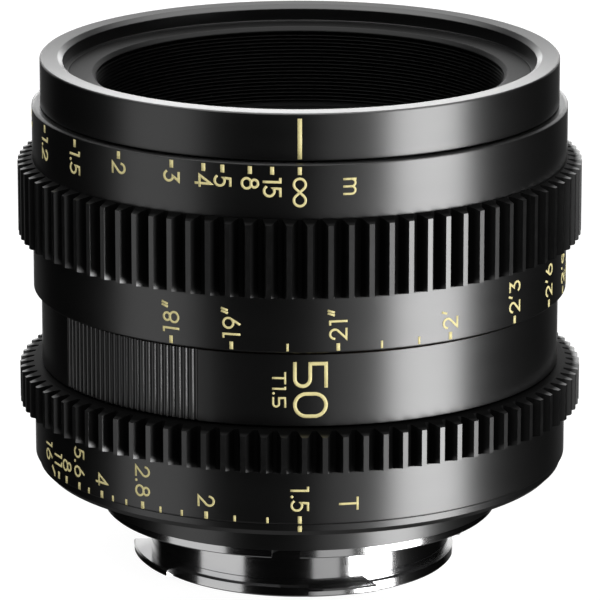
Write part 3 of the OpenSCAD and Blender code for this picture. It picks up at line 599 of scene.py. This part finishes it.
def bend(cx: float, cy: float, rx: float, ry: float, start: float, end: float, steps: int = 18) -> Stroke:
    """Points along an elliptic arc.

    Args:
        cx: Centre across.
        cy: Centre up.
        rx: Half width.
        ry: Half height.
        start: First angle in degrees.
        end: Last angle in degrees.
        steps: Number of chords.

    Returns:
        The points.
    """
    angles = [math.radians(start + (end - start) * i / steps) for i in range(steps + 1)]
    return [(cx + rx * math.cos(a), cy + ry * math.sin(a)) for a in angles]


def turn_over(strokes: list[Stroke], width: float) -> list[Stroke]:
    """The strokes turned by half a turn in their cell."""
    return [[(width - u, 1 - v) for u, v in stroke] for stroke in strokes]


LOOP_SIX = [bend(0.31, 0.31, 0.31, 0.31, 0, 360, 28), [(0.042, 0.465), (0.36, 1.0)]]
DOT = 0.06


@dataclass(frozen=True)
class Glyph:
    """One figure, as strokes in a cell that is one unit high.

    Attributes:
        width: The cell's width.
        strokes: The middle lines of its strokes. A stroke of one point is a dot.
    """

    width: float
    strokes: list[Stroke]


# "F" is a squared 5, "O" a wide 0, "I" a narrow 1, "W" a wide T and "oo" the infinity sign.
GLYPHS: dict[str, Glyph] = {
    "0": Glyph(0.66, [
        bend(0.33, 0.67, 0.33, 0.33, 0, 180) + bend(0.33, 0.33, 0.33, 0.33, 180, 360) + [(0.66, 0.67)],
    ]),
    "1": Glyph(0.27, [[(0.0, 1.0), (0.19, 1.0), (0.19, 0.0)]]),
    "2": Glyph(0.6, [bend(0.29, 0.71, 0.29, 0.29, 172, -38) + [(0.0, 0.0), (0.6, 0.0)]]),
    "3": Glyph(0.56, [[(0.03, 1.0), (0.53, 1.0), (0.25, 0.6)] + bend(0.25, 0.3, 0.31, 0.3, 88, -145)]),
    "4": Glyph(0.66, [[(0.5, 0.0), (0.5, 1.0), (0.0, 0.25), (0.66, 0.25)]]),
    "5": Glyph(0.56, [[(0.52, 1.0), (0.09, 1.0), (0.06, 0.56)] + bend(0.24, 0.32, 0.32, 0.32, 118, -140)]),
    "6": Glyph(0.62, LOOP_SIX),
    "7": Glyph(0.56, [[(0.0, 1.0), (0.56, 1.0), (0.16, 0.0)]]),
    "8": Glyph(0.64, [bend(0.32, 0.29, 0.32, 0.29, 0, 360, 28), bend(0.32, 0.78, 0.24, 0.22, 0, 360, 24)]),
    "9": Glyph(0.62, turn_over(LOOP_SIX, 0.62)),
    ".": Glyph(DOT, [[(DOT / 2, 0.02)]]),
    "'": Glyph(0.1, [[(0.1, 1.06), (0.02, 0.82)]]),
    '"': Glyph(0.28, [[(0.1, 1.08), (0.0, 0.78)], [(0.28, 1.08), (0.18, 0.78)]]),
    "T": Glyph(0.64, [[(0.0, 1.0), (0.64, 1.0)], [(0.32, 1.0), (0.32, 0.0)]]),
    "m": Glyph(0.92, [
        [(0.0, 0.68), (0.0, 0.0)],
        bend(0.23, 0.45, 0.23, 0.23, 180, 0, 12) + [(0.46, 0.0)],
        bend(0.69, 0.45, 0.23, 0.23, 180, 0, 12) + [(0.92, 0.0)],
    ]),
    "oo": Glyph(1.72, [
        bend(0.36, 0.5, 0.36, 0.36, 43.9, 316.1, 24) + bend(1.36, 0.5, 0.36, 0.36, 136.1, -136.1, 24)
        + bend(0.36, 0.5, 0.36, 0.36, 43.9, 43.9, 1)[:1],
    ]),
    "F": Glyph(0.745, [
        [(0.745, 1.0), (0.0, 1.0), (0.0, 0.49), (0.5, 0.49)]
        + bend(0.5, 0.245, 0.245, 0.245, 85, -90, 14) + [(0.0, 0.0)],
    ]),
    "O": Glyph(0.745, [
        bend(0.3725, 0.6275, 0.3725, 0.3725, 0, 180) + bend(0.3725, 0.3725, 0.3725, 0.3725, 180, 360)
        + [(0.745, 0.6275)],
    ]),
    "I": Glyph(0.11, [[(0.0, 1.0), (0.11, 1.0), (0.11, 0.0)]]),
    "W": Glyph(0.9, [[(0.0, 1.0), (0.9, 1.0)], [(0.45, 1.0), (0.45, 0.0)]]),
}


class Reading(Enum):
    """Which way a line of figures runs along the barrel."""

    REARWARD = -1
    FORWARD = 1


@dataclass(frozen=True)
class Lettering:
    """How a group of figures is cut.

    Attributes:
        height: Height over all in millimetres.
        line: Width of a stroke.
        gap: Clear space between figures.
        reading: The way that the figures run.
    """

    height: float
    line: float
    gap: float
    reading: Reading

    def cell(self) -> float:
        """Height between the middle lines of the outer strokes."""
        return self.height - self.line

    def length(self, text: Sequence[str]) -> float:
        """Length of a line of figures, over all.

        Args:
            text: The names of its glyphs.

        Returns:
            The length in millimetres.
        """
        widths = sum(GLYPHS[c].width * self.cell() + self.line for c in text)
        return widths + self.gap * (len(text) - 1)


@dataclass
class Engraving:
    """Painted marks on one cylinder of the lens.

    Attributes:
        name: The piece's name.
        body: The body that it rides on.
        radius: The cylinder's radius in millimetres.
        proud: How far the paint's rims stand above the metal.
        sunk: How far the paint's middle lies below its rims.
        chord: Longest straight piece around the cylinder.
    """

    name: str
    body: str
    radius: float
    proud: float = 0.03
    sunk: float = 0.02
    chord: float = 0.35
    piece: Piece = field(init=False)

    def __post_init__(self) -> None:
        """Starts the piece that the marks go into."""
        self.piece = Piece(self.name, Finish.MARK_PAINT, self.body, "satin_black")

    def point(self, across: float, z: float, rise: float) -> tuple[float, float, float]:
        """Lays a flat point on the cylinder.

        Args:
            across: Distance around the cylinder from its front line, towards +X.
            z: Height along the axis.
            rise: Distance above the metal.

        Returns:
            The point in millimetres.
        """
        angle, radius = across / self.radius, self.radius + rise
        return (radius * math.sin(angle), -radius * math.cos(angle), z)

    def line(self, path: Stroke, width: float) -> None:
        """Lays a painted line along a path, with mitred corners.

        Args:
            path: Places as (across, z).
            width: The line's width.
        """
        points = [Vector(path[0])]
        for spot in path[1:]:
            stretch = Vector(spot) - points[-1]
            parts = max(1, math.ceil(abs(stretch.x) / self.chord))
            points += [points[-1] + stretch * ((i + 1) / parts) for i in range(parts)]
        closed = (points[0] - points[-1]).length < 1e-6
        if closed:
            points.pop()
        rows, count, half = [], len(points), width / 2
        for i, here in enumerate(points):
            before = points[i - 1] if i or closed else None
            after = points[(i + 1) % count] if i + 1 < count or closed else None
            ways = [w.normalized() for w in (here - before if before is not None else None,
                                             after - here if after is not None else None) if w is not None]
            way = sum(ways, Vector((0.0, 0.0))).normalized()
            side = Vector((-way.y, way.x))
            reach = half / max(0.45, side.dot(Vector((-ways[0].y, ways[0].x))))
            end = here
            if before is None:
                end = here - way * half
            elif after is None:
                end = here + way * half
            left, right = end + side * reach, end - side * reach
            rows.append([
                self.point(left.x, left.y, -0.04), self.point(left.x, left.y, self.proud),
                self.point(end.x, end.y, self.proud - self.sunk),
                self.point(right.x, right.y, self.proud), self.point(right.x, right.y, -0.04),
            ])
        self.piece.sweep(rows, closed)

    def dot(self, across: float, z: float, size: float) -> None:
        """Lays a round dot.

        Args:
            across: Place around the cylinder.
            z: Place along the axis.
            size: Its diameter.
        """
        ring = bend(across, z, size / 2, size / 2, 0, 330, 11)
        rows = [[self.point(u, v, rise) for u, v in ring] for rise in (-0.04, self.proud)]
        self.piece.sweep(rows, False)

    def tick(self, degrees: float, low: float, high: float, width: float) -> None:
        """Lays a line along the axis.

        Args:
            degrees: Its angle from the front line.
            low: Its rear end.
            high: Its front end.
            width: Its width.
        """
        across = math.radians(degrees) * self.radius
        self.line([(across, low + width / 2), (across, high - width / 2)], width)

    def write(self, text: Sequence[str], degrees: float, start: float, style: Lettering) -> None:
        """Lays a line of figures along the axis, centred on an angle.

        Args:
            text: The names of its glyphs.
            degrees: The angle of its middle from the front line.
            start: The z where the first figure begins.
            style: How the figures are cut.
        """
        way, unit = style.reading.value, style.cell()
        middle, run = math.radians(degrees) * self.radius, style.line / 2
        for name in text:
            glyph = GLYPHS[name]
            for stroke in glyph.strokes:
                path = [
                    (middle - way * (v - 0.5) * unit, start + way * (run + u * unit))
                    for u, v in stroke
                ]
                if len(path) == 1:
                    self.dot(*path[0], style.line * 1.35)
                else:
                    self.line(path, style.line)
            run += glyph.width * unit + style.line + style.gap

    def make(self) -> bpy.types.Object:
        """Builds the piece."""
        return self.piece.make(True)


# Sub-assemblies


@dataclass
class BayonetMount:
    """The chromed bayonet, its screws and its red bead."""

    def build(self) -> None:
        """Dresses the CAD nodes."""
        dress(Finish.CHROME, "bayonet_mount", "mount_screws")
        dress(Finish.BEAD_RED, "mount_bead")


@dataclass
class Barrel:
    """The fixed outer barrels, what holds them, and the marks on them.

    Attributes:
        plate_r: Radius of the index plate.
        plate_mark: Rear and front end of the index plate's mark.
        grip_r: Radius of the grip barrel.
        front_r: Radius of the front ring.
        index_mark: Rear and front end of the long index line.
        figure_top: z where the focal length begins.
        aperture_top: z where the widest stop begins.
    """

    plate_r: float = 34.0
    plate_mark: tuple[float, float] = (6.25, 7.05)
    grip_r: float = 33.5
    front_r: float = 33.4
    index_mark: tuple[float, float] = (53.95, 59.07)
    figure_top: float = 28.15
    aperture_top: float = 26.85

    def build(self) -> None:
        """Dresses the CAD nodes and lays the marks."""
        dress(Finish.SATIN_BLACK, "rear_barrel", "grip_barrel")
        dress(Finish.RIM_BLACK, "front_ring")
        dress(Finish.SCREW_BLACK, "rear_barrel_screws", "grip_screws")
        dress(Finish.GUIDE, "guide_barrel")
        dress(Finish.BRONZE, "rear_washer", "front_washer")
        dress(Finish.BAFFLE, "front_baffle")
        self.marks()

    def marks(self) -> None:
        """Lays the index marks and the focal length."""
        plate = Engraving("plate_index", "barrel", self.plate_r)
        plate.tick(0, *self.plate_mark, 0.5)
        plate.make()
        line = Engraving("front_index", "barrel", self.front_r)
        line.tick(0, *self.index_mark, 0.54)
        line.tick(180, *self.index_mark, 0.54)
        line.make()
        grip = Engraving("grip_figures", "barrel", self.grip_r)
        large = Lettering(4.33, 0.45, 0.54, Reading.REARWARD)
        small = Lettering(1.74, 0.25, 0.3, Reading.REARWARD)
        grip.write(["F", "O"], 2.27, self.figure_top, large)
        grip.write(["W", "I", ".", "F"], -4.39, self.aperture_top, small)
        grip.tick(180, 27.5, 28.9, 0.46)
        grip.make()


@dataclass
class FocusRing:
    """The turning focus ring with its gear and its two distance scales.

    Attributes:
        ring_r: Radius of both scales.
        metre_tick: Rear and front end of a mark of the metre scale.
        metre_top: z where its figures begin.
        metres: Its figures, each with the ring's turn from infinity in degrees.
        feet_tick: Rear and front end of a mark of the foot scale.
        feet_low: z where its figures begin.
        feet: Its figures, as for the metres.
        inches: Turns of the marks between them.
    """

    ring_r: float = 34.5
    metre_tick: tuple[float, float] = (52.25, 53.23)
    metre_top: float = 51.85
    metres: tuple[tuple[str, float], ...] = (
        ("15", 5.64), ("8", 10.22), ("5", 15.99), ("4", 20.09), ("3", 27.29), ("2", 40.64), ("1.5", 54.71),
        ("1.2", 69.3), ("1", 84.7), ("0.8", 108.2), ("0.7", 125.7), ("0.6", 150.1), ("0.5", 186.3),
    )
    feet_tick: tuple[float, float] = (29.8, 30.77)
    feet_low: float = 31.2
    feet: tuple[tuple[str, float], ...] = (
        ('18"', 207.61), ('19"', 194.22), ('21"', 172.08), ("2'", 147.05), ("2'3", 128.35), ("2'6", 113.1),
        ("2'9", 101.5), ("3'", 93.4), ("3'6", 79.0), ("4'", 68.4), ("5'", 54.0), ("6'", 44.7), ("8'", 33.2),
        ("10'", 26.4), ("15'", 17.6), ("30'", 8.9),
    )
    inches: tuple[float, ...] = (182.52, 162.85, 154.54)

    def build(self) -> None:
        """Dresses the CAD nodes and cuts the scales."""
        dress(Finish.RING_BLACK, "focus_ring", "distance_ring")
        dress(Finish.GEAR_BLACK, "focus_gear")
        dress(Finish.SCREW_BLACK, "focus_screws")
        dress(Finish.BRASS, "cam_tube")
        dress(Finish.STEEL, "focus_stop_pin")
        self.metre_scale()
        self.foot_scale()

    def metre_scale(self) -> None:
        """Cuts the metre scale."""
        scale = Engraving("metre_scale", "focus_ring", self.ring_r)
        style = Lettering(2.32, 0.31, 0.2, Reading.REARWARD)
        scale.tick(0, *self.metre_tick, 0.5)
        scale.write(["oo"], 0, self.metre_top + 0.07, style)
        scale.write(["m"], 10.8, self.metre_top - 0.09, replace(style, line=0.27))
        for figure, turn in self.metres:
            scale.tick(-turn, *self.metre_tick, 0.5)
            scale.write(list(figure), -turn, self.metre_top, style)
        scale.make()

    def foot_scale(self) -> None:
        """Cuts the foot scale, half a turn from the metre scale."""
        scale = Engraving("foot_scale", "focus_ring", self.ring_r)
        style = Lettering(2.32, 0.28, 0.35, Reading.FORWARD)
        for figure, turn in self.feet:
            scale.tick(180.0 - turn, *self.feet_tick, 0.46)
            scale.write(list(figure), 180.0 - turn, self.feet_low, style)
        for turn in self.inches:
            scale.tick(180.0 - turn, *self.feet_tick, 0.28)
        scale.tick(180.0, *self.feet_tick, 0.46)
        scale.write(["oo"], 180.0, self.feet_low, style)
        scale.make()


@dataclass
class IrisRing:
    """The iris ring with its gear and its stop scale.

    Attributes:
        ring_r: Radius of the scale.
        tick: Rear and front end of a full stop's mark.
        part_tick: Rear and front end of a part stop's mark.
        figure_end: z where the figures end.
        stops: Full stops, their angles, and how far their figures stand beside them.
        parts: Angles of the marks between them.
    """

    ring_r: float = 34.5
    tick: tuple[float, float] = (7.5, 8.44)
    part_tick: tuple[float, float] = (7.48, 8.24)
    figure_end: float = 9.05
    stops: tuple[tuple[str, float, float], ...] = (
        ("1.5", 0.0, 0.0), ("2", -19.84, 0.0), ("2.8", -34.94, 0.0), ("4", -46.53, 0.0),
        ("5.6", -54.35, 0.0), ("8", -59.66, 0.25), ("11", -63.34, -0.3),
    )
    parts: tuple[float, ...] = (-6.72, -13.64, -25.36, -30.47, -39.34, -43.16, -50.87)

    def build(self) -> None:
        """Dresses the CAD nodes and cuts the scale."""
        dress(Finish.RING_BLACK, "iris_ring")
        dress(Finish.GEAR_BLACK, "iris_gear")
        dress(Finish.STEEL, "iris_drive_pin")
        scale = Engraving("stop_scale", "iris_ring", self.ring_r)
        style = Lettering(2.32, 0.28, 0.3, Reading.REARWARD)
        for figure, angle, aside in self.stops:
            scale.tick(angle, *self.tick, 0.48)
            scale.write(list(figure), angle + aside, self.figure_end + style.length(figure), style)
        for angle in self.parts:
            scale.tick(angle, *self.part_tick, 0.3)
        across = [math.radians(a) * self.ring_r for a in (-65.7, -66.9)]
        scale.line([(across[0], self.tick[0] + 0.15), (across[0], 7.9), (across[1], 8.55)], 0.36)
        scale.write(["1", "6"], -68.9, self.figure_end + style.length("16"), style)
        large = replace(style, height=2.5)
        scale.write(["T"], 10.2, 9.94 + 0.5 * large.length("T"), large)
        scale.make()


@dataclass
class LensBlock:
    """The sliding block with the glass and the iris."""

    def build(self) -> None:
        """Dresses the CAD nodes."""
        dress(Finish.LIGHT_TRAP, "lens_tube", "front_cell", "front_retainer", "group_retainer")
        dress(Finish.LIGHT_TRAP, "rear_cell", "rear_spacer", "rear_retainer", "iris_housing")
        dress(Finish.SCREW_BLACK, "rear_cell_screws")
        dress(Finish.BRASS, "cam_followers")
        dress(Finish.STEEL, "iris_cam_ring")
        dress(Finish.GLASS, *[f"element_{i}" for i in range(1, 7)])
        dress(Finish.BLADE_BLACK, *[f"iris_blade_{i}" for i in range(1, 11)])


# Studio


@dataclass(frozen=True)
class SoftLamp:
    """A tall soft light that faces the lens.

    Attributes:
        name: The lamp's name.
        azimuth: Its direction from the front line towards +X, in degrees.
        distance: Its distance in metres.
        height: Height of its middle in metres.
        width: Its width in metres.
        tall: Its height over all in metres.
        level: The brightness of its face, where 1 is white.
    """

    name: str
    azimuth: float
    distance: float
    height: float
    width: float
    tall: float
    level: float

    def build(self) -> None:
        """Makes the lamp."""
        data = bpy.data.lights.new(self.name, "AREA")
        data.shape = "RECTANGLE"
        data.size, data.size_y = self.width, self.tall
        data.energy = self.level * math.pi * self.width * self.tall
        lamp = bpy.data.objects.new(self.name, data)
        turn = math.radians(self.azimuth)
        lamp.location = (self.distance * math.sin(turn), -self.distance * math.cos(turn), self.height)
        aim = Vector((0.0, 0.0, self.height)) - lamp.location
        lamp.rotation_euler = aim.to_track_quat("-Z", "Y").to_euler()
        lamp.visible_camera = False
        bpy.context.scene.collection.objects.link(lamp)


# The camera, fitted to the ellipses in the photo; millimetres, metres and degrees.
SENSOR_MM = 36.0
FOCAL_MM = 318.68
CAMERA_PLACE = (0.0, -0.6663, 0.2079)
CAMERA_TILT = 74.812
CAMERA_SHIFT = 0.0004

# Half the floor's side in metres, and how brightly the camera sees the floor by itself.
FLOOR_HALF = 6.0
FLOOR_GLOW = 0.9

# What gloss sees overhead, underneath and in the dark in front of the lens.
ROOF_LIGHT = 2.0
BASE_LIGHT = 0.12
DARK_LIGHT = 0.002


@dataclass
class Studio:
    """The camera, the floor, the sky and the lamps.

    Attributes:
        floor_z: Height of the floor in metres.
        lamps: The soft lamps.
    """

    floor_z: float = -0.00702
    lamps: tuple[SoftLamp, ...] = (
        SoftLamp("key_right", 56.0, 0.55, -0.13, 0.34, 0.42, 7.2),
        SoftLamp("panel_front", 20.0, 0.6, -0.14, 0.22, 0.30, 0.45),
        SoftLamp("fill_left", -62.0, 0.55, -0.13, 0.38, 0.40, 0.7),
        SoftLamp("horizon", 180.0, 1.2, 0.14, 0.6, 0.11, 5.5),
        SoftLamp("back_fill", 180.0, 0.7, -0.14, 0.36, 0.30, 0.9),
    )

    def build(self) -> None:
        """Sets everything up."""
        scene = bpy.context.scene
        scene.view_settings.view_transform = "Standard"
        self.camera(scene)
        self.floor(scene)
        self.sky(scene)
        for lamp in self.lamps:
            lamp.build()

    def camera(self, scene: bpy.types.Scene) -> None:
        """Places the camera."""
        data = bpy.data.cameras.new("camera")
        data.sensor_width, data.lens = SENSOR_MM, FOCAL_MM
        data.clip_start, data.clip_end = 0.01, 20.0
        data.shift_x = CAMERA_SHIFT
        camera = bpy.data.objects.new("camera", data)
        camera.location = CAMERA_PLACE
        camera.rotation_euler = (math.radians(CAMERA_TILT), 0.0, 0.0)
        scene.collection.objects.link(camera)
        scene.camera = camera

    def floor(self, scene: bpy.types.Scene) -> None:
        """Lays the floor, white to the camera with a faint shadow and clear from below."""
        mesh = bpy.data.meshes.new("floor")
        size, z = FLOOR_HALF, self.floor_z
        corners = [(-size, -size, z), (size, -size, z), (size, size, z), (-size, size, z)]
        mesh.from_pydata(corners, [], [(0, 1, 2, 3)])
        material, graph = new_material("floor")
        speck = graph.grain(0.02)
        matt = graph.add("ShaderNodeBsdfDiffuse", sockets={"Color": graph.tint(speck, grey(0.3), grey(0.32))})
        glow = graph.add("ShaderNodeEmission", sockets={"Color": grey(1.0), "Strength": FLOOR_GLOW})
        both = graph.add("ShaderNodeAddShader", sockets={0: matt.outputs[0], 1: glow.outputs[0]})
        clear = graph.add("ShaderNodeBsdfTransparent")
        rays = graph.add("ShaderNodeLightPath")
        shown = graph.add("ShaderNodeMixShader", sockets={
            0: rays.outputs["Is Camera Ray"], 1: matt.outputs[0], 2: both.outputs[0],
        })
        under = graph.add("ShaderNodeNewGeometry")
        side = graph.add("ShaderNodeMixShader", sockets={
            0: under.outputs["Backfacing"], 1: shown.outputs[0], 2: clear.outputs[0],
        })
        end = graph.add("ShaderNodeOutputMaterial")
        graph.tree.links.new(side.outputs[0], end.inputs[0])
        mesh.materials.append(material)
        floor = bpy.data.objects.new("floor", mesh)
        floor.visible_glossy = False
        floor.visible_shadow = False
        scene.collection.objects.link(floor)

    def sky(self, scene: bpy.types.Scene) -> None:
        """Makes a white surround that gloss sees bright behind the lens and dark in front of it and below."""
        world = bpy.data.worlds.new("studio")
        world.use_nodes = True
        scene.world = world
        world.cycles.sampling_method = "NONE"
        graph = Graph(world.node_tree)
        where = graph.add("ShaderNodeTexCoord")
        way = graph.add("ShaderNodeSeparateXYZ", sockets={0: where.outputs["Generated"]})
        back, up = Wire(graph, way.outputs[1]), Wire(graph, way.outputs[2])
        above = up.ramp(-0.12, 0.12)
        wall = back.ramp(0.72, 0.97) * (above * 0.9 + 0.1)
        roof = up.ramp(0.5, 0.9) * ROOF_LIGHT
        base = (0 - up).ramp(0.5, 0.85) * BASE_LIGHT
        glossy = wall + roof + base + DARK_LIGHT
        rays = graph.add("ShaderNodeLightPath")
        gloss = Wire(graph, rays.outputs["Is Glossy Ray"])
        plain = Wire(graph, rays.outputs["Is Camera Ray"])
        level = gloss * glossy + (1 - gloss) * (plain * 0.15 + 0.85)
        sky = graph.add("ShaderNodeBackground", sockets={"Color": grey(1.0), "Strength": level})
        end = graph.add("ShaderNodeOutputWorld")
        graph.tree.links.new(sky.outputs[0], end.inputs[0])


def main() -> None:
    """Builds the studio and dresses the lens, part by part."""
    logging.basicConfig(level=logging.INFO, format="%(message)s")
    for part in (Studio(), BayonetMount(), Barrel(), FocusRing(), IrisRing(), LensBlock()):
        part.build()
        log.info("%s done", type(part).__name__)


if __name__ == "__main__":
    main()
